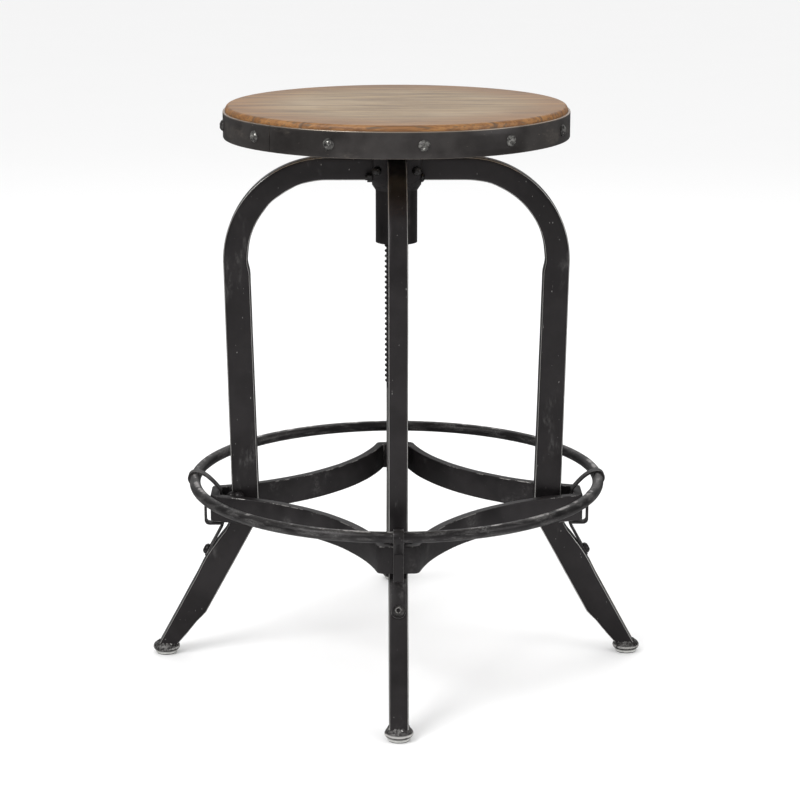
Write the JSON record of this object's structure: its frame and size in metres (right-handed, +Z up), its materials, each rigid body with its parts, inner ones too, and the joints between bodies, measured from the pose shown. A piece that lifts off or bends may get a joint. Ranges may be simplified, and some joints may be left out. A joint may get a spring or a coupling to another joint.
{
  "type": "bar stool",
  "caption": "Screw-height bar stool with a banded round wooden seat, bent tube legs, scalloped brace and clipped-on round foot ring.",
  "frame": {"origin": "on the floor, under the seat's turning axis", "axes": "+Z up along the spindle; the front leg points along -Y and the right leg along +X"},
  "size_m": [0.5416, 0.5416, 0.61],
  "materials": {
    "seat_wood": "oiled satin, worn and greyed on top",
    "band_steel": "aged dark bronze, semi-gloss",
    "rivet_steel": "blackened, polished on the crown",
    "frame_steel": "blackened, semi-gloss, edges rubbed bright",
    "brace_steel": "blackened, semi-gloss, edges rubbed bright",
    "ring_steel": "blackened, rubbed by feet",
    "clip_steel": "blackened, semi-gloss",
    "foot_iron": "blackened",
    "spindle_steel": "blackened and greased",
    "hub_steel": "blackened",
    "bolt_steel": "blackened",
    "screw_steel": "zinc plated",
    "nut_brass": "machined",
    "bush_nylon": "natural",
    "washer_nylon": "black",
    "glide_plastic": "pale grey",
    "sole_rubber": "matt"
  },
  "bodies": {
    "frame": {"hub_tube": "hub_steel", "hub_head": "hub_steel", "spindle_nut": "nut_brass", "hub_bolts": "bolt_steel", "hub_nuts": "bolt_steel", "foot_ring": "ring_steel", "clip_bolts": "bolt_steel", "brace_welds": "brace_steel", "leg_front": "frame_steel", "foot_pad_front": "foot_iron", "foot_glide_front": "glide_plastic", "foot_sole_front": "sole_rubber", "brace_bar_front": "brace_steel", "brace_end_front": "brace_steel", "ring_clip_front": "clip_steel", "leg_right": "frame_steel", "foot_pad_right": "foot_iron", "foot_glide_right": "glide_plastic", "foot_sole_right": "sole_rubber", "brace_bar_right": "brace_steel", "brace_end_right": "brace_steel", "ring_clip_right": "clip_steel", "leg_back": "frame_steel", "foot_pad_back": "foot_iron", "foot_glide_back": "glide_plastic", "foot_sole_back": "sole_rubber", "brace_bar_back": "brace_steel", "brace_end_back": "brace_steel", "ring_clip_back": "clip_steel", "leg_left": "frame_steel", "foot_pad_left": "foot_iron", "foot_glide_left": "glide_plastic", "foot_sole_left": "sole_rubber", "brace_bar_left": "brace_steel", "brace_end_left": "brace_steel", "ring_clip_left": "clip_steel"},
    "guide": {"guide_bush": "bush_nylon"},
    "seat": {"seat_board": "seat_wood", "seat_band": "band_steel", "band_rivets": "rivet_steel", "seat_plate": "hub_steel", "plate_screws": "screw_steel", "spindle": "spindle_steel", "stop_washer": "washer_nylon"}
  },
  "joints": [
    {"name": "seat_turn", "type": "hinge", "parent": "frame", "child": "guide", "pos_m": [0, 0, 0.507], "axis": [0, 0, 1], "range_deg": [0, 9360]},
    {"name": "seat_lift", "type": "slide", "parent": "guide", "child": "seat", "axis": [0, 0, 1], "range_m": [0, 0.1483]}
  ],
  "couplings": [
    {"joint": "seat_lift", "follows": "seat_turn", "m_per_rad": 0.00090718}
  ]
}
